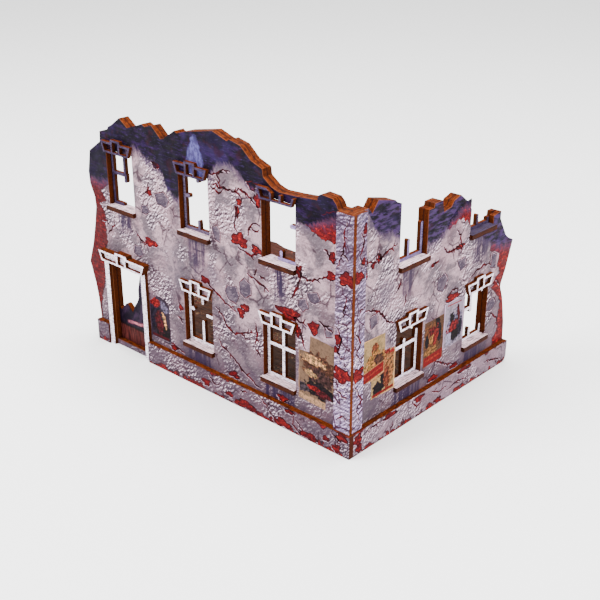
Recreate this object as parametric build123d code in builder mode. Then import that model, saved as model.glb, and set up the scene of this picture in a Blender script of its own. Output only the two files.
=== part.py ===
"""Corner ruin for 28 mm tabletop games, cut from pre-printed hardboard sheet.

Two storeys on an L plan.  Each wall is two sheets glued face to face.  The outer sheets
finger together at the corner, the floors tab into the inner sheets, the sills push into
the window openings, and the plinth, pilasters, lintel frets and door surround are glued
on the outer faces.  The origin is the middle of the footprint at table level, +Z up.
The long front wall faces -Y and the short side wall faces +X.
"""
import os

from build123d import *

os.makedirs("parts", exist_ok=True)

# ---- sheet stock (mm) ----
sheet = 3.0            # wall, floor, plinth and door stock
overlay = 2.0          # pilasters, lintels, door surround and window frames
sill_stock = 2.5
glue_gap = 0.1         # clearance of a part that pushes into an opening

# ---- plan ----
corner_x = 92.5        # outer face of the side wall
corner_y = -63.5       # outer face of the front wall
front_length = 182.0   # front wall at the foot, from the corner
side_length = 129.5    # side wall at the foot, from the corner
corner_height = 116.5

# ---- storeys and bays ----
storey = 61.0
low_sill = 22.0        # top of the ground-floor sills
high_sill = low_sill + storey
front_first = 43.0     # corner to the first window centre
front_pitch = 56.0
side_first = 43.5
side_pitch = 56.5
front_bays = [-(front_first + i * front_pitch) for i in range(3)]
side_bays = [side_first + i * side_pitch for i in range(2)]
door_x = front_bays[2]

# ---- windows ----
opening_w = 21.0
opening_h = 30.0       # above the sill top
stile_w = 1.6
bar_v = 16.3           # underside of the crossbar above the sill top
bar_h = 1.7
rail_h = 1.6
sill_w = 22.0
sill_reach = 2.0       # nose in front of the wall

# ---- lintel frets ----
lintel_v = 29.0        # underside above the sill top
lintel_h = 5.7
fret_bar = 1.2          # width of the fret bars
key_rise = 1.6         # raised middle block
lintel_foot = 19.5
lintel_head = 23.5
key_w = 8.0

# ---- door ----
door_w = 27.0
door_top = 51.5
threshold = 3.0
post_w = 3.5
door_lintel_z = 50.8
door_lintel_foot = 33.5
door_lintel_head = 38.0
door_key_w = 10.0

# ---- trim ----
plinth_h = 12.0
pilaster_front_w = 7.5
pilaster_side_w = 7.0

# ---- floors ----
floor_tab = 14.0
upper_floor_z = storey

# ---- broken edges, hand drawn: (distance from the corner, height) ----
front_left_break = [
    (-182.0, 12.5), (-183.0, 24.0), (-184.5, 32.5), (-187.0, 41.5), (-188.0, 44.5),
    (-187.0, 47.5), (-183.5, 56.5), (-180.0, 69.5), (-178.0, 79.0), (-178.5, 84.5),
    (-181.5, 91.0), (-182.0, 97.5), (-179.5, 109.5), (-170.0, 116.0), (-169.5, 121.5),
]
front_top_break = [
    (-163.0, 123.5), (-162.0, 125.0), (-159.0, 126.5), (-152.5, 131.0), (-146.5, 127.0),
    (-139.0, 129.5), (-135.0, 131.0), (-132.5, 130.0), (-127.5, 131.5), (-121.0, 126.0),
    (-119.0, 126.5), (-116.0, 128.5), (-110.5, 132.0), (-109.0, 131.0), (-102.5, 133.0),
    (-84.0, 136.5), (-74.5, 133.5), (-73.0, 134.5), (-66.0, 133.0), (-59.5, 127.5),
    (-52.5, 125.0), (-52.0, 121.5), (-47.0, 118.0), (-44.0, 117.0), (-42.0, 116.5),
    (-32.0, 117.0), (-20.0, 118.0), (-19.0, 120.5), (-18.0, 121.0), (-11.5, 120.5),
    (-9.5, 118.5), (-8.5, corner_height),
]
side_top_break = [
    (10.0, corner_height), (12.5, 113.5), (16.5, 118.5), (20.5, 117.5), (28.5, 115.5),
    (29.5, 114.5), (33.0, 113.0), (54.0, 104.5), (58.0, 104.5), (58.5, 106.5),
    (64.5, 106.5), (66.0, 100.5), (72.0, 101.5), (74.0, 104.0), (79.5, 105.5),
    (83.5, 102.5), (87.5, 99.5), (87.5, 98.0), (89.5, 96.0),
]
side_stub_outer = [(110.5, 87.0), (114.0, 87.5), (117.0, 88.0)]
side_stub_inner = [(110.5, 85.0), (113.0, 85.5), (113.5, 88.0), (117.0, 88.0)]
side_right_break = [
    (117.0, 84.0), (123.5, 73.5), (126.0, 71.5), (131.0, 69.0), (128.5, 61.0),
    (126.0, 53.5), (123.0, 47.0), (122.5, 45.0), (125.5, 38.0), (127.5, 29.5),
    (129.0, 22.0), (129.5, 13.0),
]
# floor plans, hand drawn: (along X from the corner, along Y from the corner)
ground_break = [
    (-181.0, 71.0), (-173.0, 78.0), (-161.0, 75.0), (-151.0, 86.0), (-134.0, 89.0),
    (-121.0, 103.0), (-105.0, 100.0), (-93.0, 111.0), (-75.0, 115.0), (-61.0, 123.0),
    (-45.0, 120.0), (-31.0, 126.0), (-18.0, 122.0),
]
upper_break = [
    (-113.0, 14.0), (-116.5, 22.0), (-111.0, 31.0), (-113.0, 40.0), (-106.0, 46.0),
    (-101.0, 53.5), (-96.0, 54.0), (-88.0, 51.5), (-79.0, 51.0), (-70.0, 48.5),
    (-60.0, 53.0), (-52.0, 62.0), (-47.0, 74.0), (-38.0, 80.0), (-28.0, 77.0),
    (-18.0, 82.0),
]


def front_plane(depth):
    """Front elevation, depth behind the outer face; local x is +X, local y is +Z."""
    return Plane(origin=(corner_x, corner_y + depth, 0), x_dir=(1, 0, 0), z_dir=(0, -1, 0))


def side_plane(depth):
    """Side elevation, depth behind the outer face; local x is +Y, local y is +Z."""
    return Plane(origin=(corner_x - depth, corner_y, 0), x_dir=(0, 1, 0), z_dir=(1, 0, 0))


def save(solid, label):
    solid.label = label
    export_step(solid, f"parts/{label}.step")


def box_area(u0, v0, u1, v1, mode=Mode.ADD):
    """Rectangle between two corners of the sketch."""
    with Locations(((u0 + u1) / 2, (v0 + v1) / 2)):
        Rectangle(u1 - u0, v1 - v0, mode=mode)


def window_cuts(bays, sill_z, height):
    """Window openings; each starts under the sill strip."""
    for bay in bays:
        left = bay - opening_w / 2
        right = bay + opening_w / 2
        box_area(left, sill_z - sill_stock, right, sill_z + height, Mode.SUBTRACT)


def door_cut():
    box_area(door_x - door_w / 2, threshold, door_x + door_w / 2, door_top, Mode.SUBTRACT)


# ---- corner fingers: odd steps belong to the side wall, even steps to the front wall ----
finger_count = 6
finger_h = corner_height / finger_count
finger_gap = 0.1


def finger_band(step):
    """Bottom and top of one finger step."""
    return step * finger_h, (step + 1) * finger_h


# ---- floor tabs: centres along each wall ----
ground_front_tabs = [-front_first, -front_first - front_pitch, -130.0]
ground_side_tabs = [30.0, 72.0, 108.0]
upper_front_tabs = [-20.0, -71.0, -104.0]
upper_side_tabs = [20.0, 62.0]


def tab_slots(centres, z0):
    """Slots in an inner sheet for the floor tabs."""
    for centre in centres:
        half = floor_tab / 2 + glue_gap
        low = z0 - glue_gap if z0 > 0 else 0.0
        box_area(centre - half, low, centre + half, z0 + sheet + glue_gap, Mode.SUBTRACT)


# ================= walls =================
with BuildPart() as front_outer:
    with BuildSketch(front_plane(0)):
        with BuildLine():
            Polyline(
                (-front_length, 0), *front_left_break, *front_top_break,
                (0, corner_height), (0, 0), close=True,
            )
        make_face()
        window_cuts(front_bays, high_sill, opening_h)
        window_cuts(front_bays[:2], low_sill, opening_h)
        door_cut()
        for step in range(1, finger_count, 2):
            low, high = finger_band(step)
            box_area(-sheet, low - finger_gap, 0, high + finger_gap, Mode.SUBTRACT)
    extrude(amount=-sheet)
save(front_outer.part, "front_wall_outer")

with BuildPart() as front_inner:
    with BuildSketch(front_plane(sheet)):
        with BuildLine():
            Polyline(
                (-front_length, 0), *front_left_break, *front_top_break,
                (-sheet, corner_height), (-sheet, 0), close=True,
            )
        make_face()
        window_cuts(front_bays, high_sill, opening_h)
        window_cuts(front_bays[:2], low_sill, opening_h)
        door_cut()
        tab_slots(ground_front_tabs, 0)
        tab_slots(upper_front_tabs, upper_floor_z)
    extrude(amount=-sheet)
save(front_inner.part, "front_wall_inner")

with BuildPart() as side_outer:
    with BuildSketch(side_plane(0)):
        with BuildLine():
            Polyline(
                (sheet, 0), (sheet, corner_height), *side_top_break, *side_stub_outer,
                *side_right_break, (side_length, 0), close=True,
            )
        make_face()
        for step in range(1, finger_count, 2):
            low, high = finger_band(step)
            box_area(0, low, sheet, high)
        window_cuts(side_bays, high_sill, storey)
        window_cuts(side_bays, low_sill, opening_h)
    extrude(amount=-sheet)
save(side_outer.part, "side_wall_outer")

with BuildPart() as side_inner:
    with BuildSketch(side_plane(sheet)):
        with BuildLine():
            Polyline(
                (2 * sheet, 0), (2 * sheet, corner_height), *side_top_break, *side_stub_inner,
                *side_right_break, (side_length, 0), close=True,
            )
        make_face()
        window_cuts(side_bays, high_sill, storey)
        window_cuts(side_bays, low_sill, opening_h)
        tab_slots(ground_side_tabs, 0)
        tab_slots(upper_side_tabs, upper_floor_z)
    extrude(amount=-sheet)
save(side_inner.part, "side_wall_inner")


# ================= floors =================
def floor_plan(outline, front_tabs, side_tabs):
    """Floor sketch in plan with its tabs; the outline runs round the broken side."""
    inside = 2 * sheet
    with BuildLine() as edge_line:
        Polyline(
            (-inside, inside), (outline[0][0], inside), *outline,
            (-inside, outline[-1][1] + 1), close=True,
        )
    make_face(edge_line.edges())
    for centre in front_tabs:
        box_area(centre - floor_tab / 2, sheet, centre + floor_tab / 2, inside)
    for centre in side_tabs:
        box_area(-inside, centre - floor_tab / 2, -sheet, centre + floor_tab / 2)


with BuildPart() as ground_floor:
    with BuildSketch(Plane(origin=(corner_x, corner_y, 0))):
        floor_plan(ground_break, ground_front_tabs, ground_side_tabs)
    extrude(amount=sheet)
save(ground_floor.part, "ground_floor")

with BuildPart() as upper_floor:
    with BuildSketch(Plane(origin=(corner_x, corner_y, upper_floor_z))):
        floor_plan(upper_break, upper_front_tabs, upper_side_tabs)
    extrude(amount=sheet)
save(upper_floor.part, "upper_floor")

# ================= plinth and pilasters =================
post_outer = door_w / 2 + post_w

with BuildPart() as plinth_left:
    with BuildSketch(front_plane(0)):
        box_area(-front_length, 0, door_x - post_outer, plinth_h)
    extrude(amount=sheet)
save(plinth_left.part, "front_plinth_left")

with BuildPart() as plinth_right:
    with BuildSketch(front_plane(0)):
        box_area(door_x + post_outer, 0, sheet, plinth_h)
    extrude(amount=sheet)
save(plinth_right.part, "front_plinth_right")

with BuildPart() as plinth_side:
    with BuildSketch(side_plane(0)):
        with BuildLine():
            Polyline(
                (0, 0), (0, plinth_h), (side_length, plinth_h), (side_length, 3.0),
                (side_length - 1.0, 1.0), (side_length - 3.0, 0), close=True,
            )
        make_face()
    extrude(amount=sheet)
save(plinth_side.part, "side_plinth")

with BuildPart() as pilaster_front:
    with BuildSketch(front_plane(0)):
        box_area(-pilaster_front_w, plinth_h, overlay, corner_height)
    extrude(amount=overlay)
save(pilaster_front.part, "front_pilaster")

with BuildPart() as pilaster_side:
    with BuildSketch(side_plane(0)):
        box_area(0, plinth_h, pilaster_side_w, corner_height)
    extrude(amount=overlay)
save(pilaster_side.part, "side_pilaster")


# ================= lintel frets =================
def lintel_outline(centre, z0, foot, head, key):
    """Tapered lintel with a raised middle block."""
    top = z0 + lintel_h
    with BuildLine() as edge_line:
        Polyline(
            (centre - foot / 2, z0), (centre - head / 2, top),
            (centre - key / 2, top), (centre - key / 2 + 0.4, top + key_rise),
            (centre + key / 2 - 0.4, top + key_rise), (centre + key / 2, top),
            (centre + head / 2, top), (centre + foot / 2, z0), close=True,
        )
    make_face(edge_line.edges())


def lintel_holes(centre, z0, foot, head, inner):
    """Two tapered side holes and a middle hole; inner is the half width to the side holes."""
    low = z0 + 0.8 * fret_bar
    high = z0 + lintel_h - 0.9 * fret_bar
    for side in (-1, 1):
        with BuildLine() as edge_line:
            Polyline(
                (centre + side * inner, low), (centre + side * inner, high),
                (centre + side * (head / 2 - 1.25 * fret_bar), high),
                (centre + side * (foot / 2 - 0.7 * fret_bar), low), close=True,
            )
        make_face(edge_line.edges(), mode=Mode.SUBTRACT)
    middle = inner - fret_bar
    box_area(centre - middle, low, centre + middle, high + key_rise, Mode.SUBTRACT)


def lintel(plane, centre, z0, label):
    with BuildPart() as fret:
        with BuildSketch(plane):
            lintel_outline(centre, z0, lintel_foot, lintel_head, key_w)
            lintel_holes(centre, z0, lintel_foot, lintel_head, 3.5)
        extrude(amount=overlay)
    save(fret.part, label)


lintel(front_plane(0), front_bays[2], high_sill + lintel_v, "front_lintel_upper_1")
lintel(front_plane(0), front_bays[1], high_sill + lintel_v, "front_lintel_upper_2")
lintel(front_plane(0), front_bays[1], low_sill + lintel_v, "front_lintel_lower_2")
lintel(front_plane(0), front_bays[0], low_sill + lintel_v, "front_lintel_lower_3")
lintel(side_plane(0), side_bays[0], low_sill + lintel_v, "side_lintel_lower_1")
lintel(side_plane(0), side_bays[1], low_sill + lintel_v, "side_lintel_lower_2")

# the third upper lintel lost its top right part along with the wall
with BuildPart() as broken_lintel:
    with BuildSketch(front_plane(0)):
        lintel_outline(front_bays[0], high_sill + lintel_v, lintel_foot, lintel_head, key_w)
        lintel_holes(front_bays[0], high_sill + lintel_v, lintel_foot, lintel_head, 3.5)
        with BuildLine():
            Polyline(
                (front_bays[0] - 5.6, 122.0), (front_bays[0] - 5.0, 117.5),
                (front_bays[0] - 2.6, 115.9), (front_bays[0] + 13.0, 116.1),
                (front_bays[0] + 13.0, 122.0), close=True,
            )
        make_face(mode=Mode.SUBTRACT)
    extrude(amount=overlay)
save(broken_lintel.part, "front_lintel_upper_3")

# ================= door =================
with BuildPart() as surround:
    with BuildSketch(front_plane(0)):
        lintel_outline(door_x, door_lintel_z, door_lintel_foot, door_lintel_head, door_key_w)
        box_area(door_x - post_outer, 0, door_x - door_w / 2, door_lintel_z)
        box_area(door_x + door_w / 2, 0, door_x + post_outer, door_lintel_z)
    extrude(amount=overlay)
save(surround.part, "door_surround")

with BuildPart() as door_lintel:
    with BuildSketch(front_plane(-overlay)):
        lintel_outline(door_x, door_lintel_z, door_lintel_foot, door_lintel_head, door_key_w)
        lintel_holes(door_x, door_lintel_z, door_lintel_foot, door_lintel_head, 4.0)
    extrude(amount=overlay)
save(door_lintel.part, "door_lintel")

leaf_half = door_w / 2 - glue_gap
leaf_break = [
    (-11.5, 20.5), (-9.5, 23.0), (-7.0, 25.5), (-5.5, 25.0), (-1.8, 21.5), (0.5, 26.5),
    (2.5, 29.0), (4.0, 32.0), (4.2, 37.0), (5.5, 42.0), (7.0, 47.5), (8.5, door_top - 0.1),
]
with BuildPart() as door_leaf:
    with BuildSketch(front_plane(sheet)):
        with BuildLine():
            Polyline(
                (door_x - leaf_half, threshold), (door_x - leaf_half, 21.5),
                *[(door_x + u, v) for u, v in leaf_break],
                (door_x + leaf_half, door_top - 0.1), (door_x + leaf_half, threshold),
                close=True,
            )
        make_face()
    extrude(amount=-sheet)
save(door_leaf.part, "door_leaf")


# ================= sills =================
def sill(plane, centre, z, label):
    """Strip with a wider nose in front and a tongue through both sheets."""
    with BuildPart() as strip:
        with BuildSketch(plane):
            box_area(centre - sill_w / 2, z - sill_stock, centre + sill_w / 2, z)
        extrude(amount=sill_reach)
        with BuildSketch(plane):
            half = opening_w / 2 - glue_gap
            box_area(centre - half, z - sill_stock, centre + half, z)
        extrude(amount=-2 * sheet)
    save(strip.part, label)


for index in range(3):
    sill(front_plane(0), front_bays[2 - index], high_sill, f"front_sill_upper_{index + 1}")
sill(front_plane(0), front_bays[1], low_sill, "front_sill_lower_2")
sill(front_plane(0), front_bays[0], low_sill, "front_sill_lower_3")
for index in range(2):
    sill(side_plane(0), side_bays[index], high_sill, f"side_sill_upper_{index + 1}")
    sill(side_plane(0), side_bays[index], low_sill, f"side_sill_lower_{index + 1}")

# ================= window frames =================
edge = opening_w / 2 - glue_gap      # outside of the stiles from the window centre
inner_edge = edge - stile_w
half_bar = stile_w / 2
frame_top = opening_h - glue_gap
head_rail = lintel_v - 0.2           # underside of the head rail, behind the lintel
bar_top = bar_v + bar_h


def knob(u, v, radius):
    """Rounded end of a broken bar."""
    with Locations((u, v)):
        Circle(radius)


def frame(plane, centre, sill_z, areas, knobs, label):
    """Fret-cut frame remains: areas are (u0, v0, u1, v1), knobs are (u, v, radius)."""
    with BuildPart() as fret:
        with BuildSketch(plane):
            for u0, v0, u1, v1 in areas:
                box_area(centre + u0, sill_z + v0, centre + u1, sill_z + v1)
            for u, v, radius in knobs:
                knob(centre + u, sill_z + v, radius)
        extrude(amount=-overlay)
    save(fret.part, label)


left_stile = (-edge, 0, -inner_edge, frame_top)
right_stile = (inner_edge, 0, edge, frame_top)
foot_rail = (-edge, 0, edge, rail_h)
top_rail = (-edge, head_rail, edge, frame_top)
full_bar = (-edge, bar_v, edge, bar_top)
muntin = (-half_bar, 0, half_bar, frame_top)
front_glazing = front_plane(sheet)
side_glazing = side_plane(sheet)

frame(
    front_glazing, front_bays[2], high_sill,
    [
        left_stile, top_rail,
        (-half_bar, bar_v, half_bar, frame_top), (-edge, bar_v, half_bar, bar_top),
        (-0.4, 14.0, 1.4, bar_top), (-edge, 0, -3.0, rail_h),
    ],
    [(0.5, 14.2, 1.0), (-3.0, rail_h / 2, rail_h / 2)],
    "front_frame_upper_1",
)
frame(
    front_glazing, front_bays[1], high_sill,
    [
        left_stile, top_rail, right_stile, foot_rail, (-edge, bar_v, -6.9, bar_top),
        (-half_bar, 0, half_bar, 5.2), (-0.9, 26.0, 0.9, frame_top),
    ],
    [(-6.9, bar_v + bar_h / 2, 1.1), (-0.1, 5.2, 0.8), (0.1, 26.0, 1.0)],
    "front_frame_upper_2",
)
frame(
    front_glazing, front_bays[0], high_sill,
    [
        right_stile, (-3.4, 0, edge, rail_h), (5.2, 17.0, edge, 18.8),
        (-1.9, 0, -0.3, 4.2),
    ],
    [(5.3, 17.9, 1.0), (-1.1, 4.0, 0.9)],
    "front_frame_upper_3",
)
frame(
    front_glazing, front_bays[1], low_sill,
    [
        left_stile, top_rail, right_stile, foot_rail, (-half_bar, 23.0, half_bar, frame_top),
        (-edge, 17.0, -7.2, 18.8), (3.0, 16.1, edge, 17.8), (-half_bar, 0, half_bar, 12.6),
    ],
    [(0.1, 23.0, 0.8), (-7.2, 17.9, 1.0), (3.2, 16.95, 0.85), (0.1, 12.6, 0.75)],
    "front_frame_lower_2",
)
frame(
    front_glazing, front_bays[0], low_sill,
    [left_stile, right_stile, top_rail, foot_rail, full_bar, muntin],
    [],
    "front_frame_lower_3",
)
frame(
    side_glazing, side_bays[0], high_sill,
    [
        (-edge, 0, -inner_edge, 11.0), foot_rail, (inner_edge, 0, edge, 15.0),
        (-half_bar, 0, half_bar, 9.0),
    ],
    [(0.1, 8.9, 0.8), (inner_edge + 0.8, 15.0, 0.8), (-inner_edge - 0.8, 11.0, 0.8)],
    "side_frame_upper_1",
)
frame(
    side_glazing, side_bays[1], high_sill,
    [
        (-edge, 0, -inner_edge, 7.0), foot_rail, (inner_edge, 0, edge, 3.2),
        (-half_bar, 0, half_bar, 6.2),
    ],
    [(0.1, 6.2, 0.8), (-inner_edge - 0.8, 7.0, 0.8)],
    "side_frame_upper_2",
)
frame(
    side_glazing, side_bays[0], low_sill,
    [
        (-edge, 0, -inner_edge, frame_top), foot_rail, (inner_edge, 0, edge, 22.0),
        full_bar, (-half_bar, 0, half_bar, 20.0), (-edge, head_rail, 1.0, frame_top),
    ],
    [(inner_edge + 0.8, 22.0, 0.8), (0.1, 20.0, 0.75), (1.0, frame_top - 0.55, 0.5)],
    "side_frame_lower_1",
)
frame(
    side_glazing, side_bays[1], low_sill,
    [
        left_stile, top_rail, foot_rail, (-half_bar, 15.8, half_bar, frame_top),
        (-edge, 17.0, half_bar, 18.7), (inner_edge, 24.5, edge, frame_top),
        (-half_bar, 0, half_bar, 5.6), (inner_edge, 0, edge, 4.6),
    ],
    [
        (-0.1, 16.0, 0.8), (-0.1, 5.6, 0.8), (inner_edge + 0.8, 4.6, 0.8),
        (inner_edge + 0.8, 24.4, 0.8),
    ],
    "side_frame_lower_2",
)
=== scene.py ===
import math
import random

import bpy
import bmesh
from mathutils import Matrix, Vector
from mathutils.geometry import tessellate_polygon


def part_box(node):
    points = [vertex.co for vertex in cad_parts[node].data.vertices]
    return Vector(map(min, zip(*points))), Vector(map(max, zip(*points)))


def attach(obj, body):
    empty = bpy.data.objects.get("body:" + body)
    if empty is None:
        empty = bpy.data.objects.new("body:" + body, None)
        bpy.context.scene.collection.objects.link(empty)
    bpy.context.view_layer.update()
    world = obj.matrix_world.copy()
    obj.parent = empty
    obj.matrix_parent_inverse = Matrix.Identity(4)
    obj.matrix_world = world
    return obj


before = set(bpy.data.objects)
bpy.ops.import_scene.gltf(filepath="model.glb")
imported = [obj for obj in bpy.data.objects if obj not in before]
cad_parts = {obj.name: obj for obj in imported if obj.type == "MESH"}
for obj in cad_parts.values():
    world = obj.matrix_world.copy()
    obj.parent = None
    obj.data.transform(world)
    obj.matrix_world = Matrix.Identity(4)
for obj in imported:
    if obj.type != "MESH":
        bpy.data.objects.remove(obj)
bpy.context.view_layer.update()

# ---------------------------------------------------------------- sizes, mm
CORNER_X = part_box("front_wall_outer")[1][0] * 1000
FACE_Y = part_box("front_wall_outer")[0][1] * 1000
OVERLAY = 2.0
PLINTH = 3.0
SHEET = 3.0
FILM_ROOT = 0.02


# ---------------------------------------------------------------- node maths
def maths(operation, turned=False):
    """A Field method made of one maths node; turned puts the Field second."""
    def method(self, *others):
        values = (*others, self) if turned else (self, *others)
        return math_node(self.tree, operation, *values)
    return method


class Field:
    """A value or colour inside one material's node tree, with ordinary maths."""

    def __init__(self, tree, socket):
        self.tree = tree
        self.socket = socket

    __add__ = __radd__ = maths("ADD")
    __sub__, __rsub__ = maths("SUBTRACT"), maths("SUBTRACT", turned=True)
    __mul__ = __rmul__ = maths("MULTIPLY")
    __truediv__, min, abs = maths("DIVIDE"), maths("MINIMUM"), maths("ABSOLUTE")

    def step(self, low, high):
        """0 below low, 1 above high, smooth between; falling if low > high."""
        node = self.tree.nodes.new("ShaderNodeMapRange")
        node.interpolation_type = "SMOOTHSTEP"
        rising = high >= low
        node.inputs[1].default_value = low if rising else high
        node.inputs[2].default_value = high if rising else low
        node.inputs[3].default_value = 0.0 if rising else 1.0
        node.inputs[4].default_value = 1.0 if rising else 0.0
        self.tree.links.new(self.socket, node.inputs[0])
        return Field(self.tree, node.outputs[0])


def put(tree, socket, value):
    if isinstance(value, Field):
        tree.links.new(value.socket, socket)
    else:
        socket.default_value = value


def math_node(tree, operation, *values):
    node = tree.nodes.new("ShaderNodeMath")
    node.operation = operation
    for socket, value in zip(node.inputs, values):
        put(tree, socket, value)
    return Field(tree, node.outputs[0])


def radius(across, along):
    return math_node(across.tree, "SQRT", across * across + along * along)


class Print:
    """One procedural material; u runs along the wall, v is height, both in mm."""

    def __init__(self, name, axis="y"):
        self.material = bpy.data.materials.new(name)
        self.material.use_nodes = True
        self.tree = self.material.node_tree
        self.shader = self.tree.nodes["Principled BSDF"]
        coords = self.tree.nodes.new("ShaderNodeTexCoord")
        split = self.tree.nodes.new("ShaderNodeSeparateXYZ")
        self.tree.links.new(coords.outputs["Object"], split.inputs[0])
        self.x, self.y, self.z = [Field(self.tree, s) * 1000.0 for s in split.outputs]
        if axis == "y":
            self.u, self.v = self.x - CORNER_X, self.z
            self.depth = self.y - FACE_Y
        elif axis == "x":
            self.u, self.v = self.y - FACE_Y, self.z
            self.depth = CORNER_X - self.x
        else:
            self.u, self.v = self.x - CORNER_X, self.y - FACE_Y
            self.depth = self.z
        geometry = self.tree.nodes.new("ShaderNodeNewGeometry")
        turn = self.tree.nodes.new("ShaderNodeSeparateXYZ")
        self.tree.links.new(geometry.outputs["True Normal"], turn.inputs[0])
        self.normal = [Field(self.tree, s) for s in turn.outputs]
        sheet_normal = self.normal["xyz".index(axis)]
        self.face = sheet_normal.abs().step(0.6, 0.8)
        self.up = self.normal[2].step(0.25, 0.9)

    def at(self, su=1.0, sv=1.0, sw=0.0, lean=0.0, shift=0.0, drop=0.0):
        """The point (u, v) stretched by su, sv, leaning and moved, as a texture vector."""
        node = self.tree.nodes.new("ShaderNodeCombineXYZ")
        put(self.tree, node.inputs[0], (self.u + self.v * lean + shift) * su)
        put(self.tree, node.inputs[1], (self.v - drop) * sv)
        put(self.tree, node.inputs[2], self.depth * sw)
        return node.outputs[0]

    def noise(self, scale, vector=None, detail=3.0, rough=0.6, warp=0.0):
        node = self.tree.nodes.new("ShaderNodeTexNoise")
        node.inputs["Scale"].default_value = scale
        node.inputs["Detail"].default_value = detail
        node.inputs["Roughness"].default_value = rough
        node.inputs["Distortion"].default_value = warp
        self.tree.links.new(vector or self.at(), node.inputs["Vector"])
        return Field(self.tree, node.outputs[0])

    def seams(self, scale, vector=None, jitter=1.0):
        """Distance to the nearest edge of a net of cells."""
        node = self.tree.nodes.new("ShaderNodeTexVoronoi")
        node.feature = "DISTANCE_TO_EDGE"
        node.inputs["Scale"].default_value = scale
        node.inputs["Randomness"].default_value = jitter
        self.tree.links.new(vector or self.at(), node.inputs["Vector"])
        return Field(self.tree, node.outputs["Distance"])

    def emboss(self, scale, detail, rough, lean=0.0, tall=1.0, shift=0.0, gap=0.45):
        """Painted relief: positive on edges that face up and left, negative opposite."""
        first = self.at(1.0, tall, lean=lean, shift=shift)
        second = self.at(1.0, tall, lean=lean, shift=shift + gap, drop=gap)
        return self.noise(scale, first, detail, rough) - self.noise(scale, second, detail, rough)

    def curve(self, value, points):
        """Height looked up along value from the given (value, height) points."""
        low = points[0][0]
        high = points[-1][0]
        top = max(p[1] for p in points)
        bottom = min(p[1] for p in points)
        ranged = self.tree.nodes.new("ShaderNodeMapRange")
        put(self.tree, ranged.inputs[0], value)
        ranged.inputs[1].default_value = low
        ranged.inputs[2].default_value = high
        node = self.tree.nodes.new("ShaderNodeFloatCurve")
        line = node.mapping.curves[0]
        for position, height in points:
            spot = ((position - low) / (high - low), (height - bottom) / (top - bottom))
            if spot[0] <= 0.0:
                line.points[0].location = spot
            elif spot[0] >= 1.0:
                line.points[len(line.points) - 1].location = spot
            else:
                line.points.new(*spot)
        for point in line.points:
            point.handle_type = "VECTOR"
        node.mapping.update()
        self.tree.links.new(ranged.outputs[0], node.inputs["Value"])
        return Field(self.tree, node.outputs[0]) * (top - bottom) + bottom

    def mix(self, first, second, factor):
        """Two colours mixed; each is a Field or three numbers from 0 to 255."""
        node = self.tree.nodes.new("ShaderNodeMix")
        node.data_type = "RGBA"
        put(self.tree, node.inputs[0], factor)
        for socket, value in ((node.inputs[6], first), (node.inputs[7], second)):
            put(self.tree, socket, value if isinstance(value, Field) else (*srgb(*value), 1.0))
        return Field(self.tree, node.outputs[2])

    def mottle(self, colour, tint, scale, low, high, amount=1.0, detail=3.0, rough=0.6, **at):
        """Lays tint over colour where a noise rises from low to high."""
        spots = self.noise(scale, self.at(**at), detail, rough)
        return self.mix(colour, tint, spots.step(low, high) * amount)

    def finish(self, colour, height, distance, rough):
        put(self.tree, self.shader.inputs["Base Color"], colour)
        put(self.tree, self.shader.inputs["Roughness"], rough)
        self.shader.inputs["Specular IOR Level"].default_value = 0.06
        bump = self.tree.nodes.new("ShaderNodeBump")
        bump.inputs["Strength"].default_value = 0.6
        bump.inputs["Distance"].default_value = distance
        self.tree.links.new(height.socket, bump.inputs["Height"])
        self.tree.links.new(bump.outputs[0], self.shader.inputs["Normal"])
        return self.material


# How light a matt surface shows here, 0 to 255, against the share of light it returns.
LOOK = (
    (0, 0.0004), (33, 0.002), (45, 0.005), (58, 0.009), (73, 0.0145), (88, 0.022), (103, 0.033),
    (116, 0.044), (132, 0.062), (151, 0.09), (170, 0.133), (187, 0.2), (201, 0.31), (215, 0.48),
    (225, 0.68), (240, 0.88), (256, 0.95),
)


SATURATION = 1.22


def srgb(red, green, blue):
    """The albedo that shows as this 0 to 255 colour under the studio lights."""
    middle = (red + green + blue) / 3
    out = []
    for value in (red, green, blue):
        value = min(255.0, max(0.0, middle + (value - middle) * SATURATION))
        for (low, first), (high, last) in zip(LOOK, LOOK[1:]):
            if low <= value < high:
                part = (value - low) / (high - low)
                out.append(first * (last / first) ** part)
    return tuple(out)


def dim(colour, share):
    return tuple(value * share for value in colour)


# ---------------------------------------------------------------- shared prints
def cut_board(p, upright_top=(124, 66, 28)):
    """Laser-cut hardboard edge with scorched grain: uprights keep the darker brown, and top faces are
    painted a hot lighter orange as a painted highlight where light falls from above.
    """
    grain = p.noise(0.8, p.at(0.4, 1.2, 4.0), detail=5.0, rough=0.65)
    base = p.mix((90, 46, 20), (156, 90, 42), grain.step(0.38, 0.62))
    base = p.mottle(base, (66, 32, 16), 0.4, 0.48, 0.64, 0.75, sw=1.5, shift=15.0)
    upright = p.mix(dim(upright_top, 0.66), upright_top, grain.step(0.35, 0.65))
    # painted light: top faces get the lighter orange as a painted highlight, uprights the darker brown
    colour = p.mix(upright, base, p.up)
    joint = (p.depth - SHEET).abs().step(0.45, 0.2)
    colour = p.mix(colour, (58, 28, 12), joint * 0.85)
    lip = (p.depth - 0.12).abs().step(0.3, 0.1)
    return p.mix(colour, (176, 130, 92), lip * 0.5)


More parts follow.
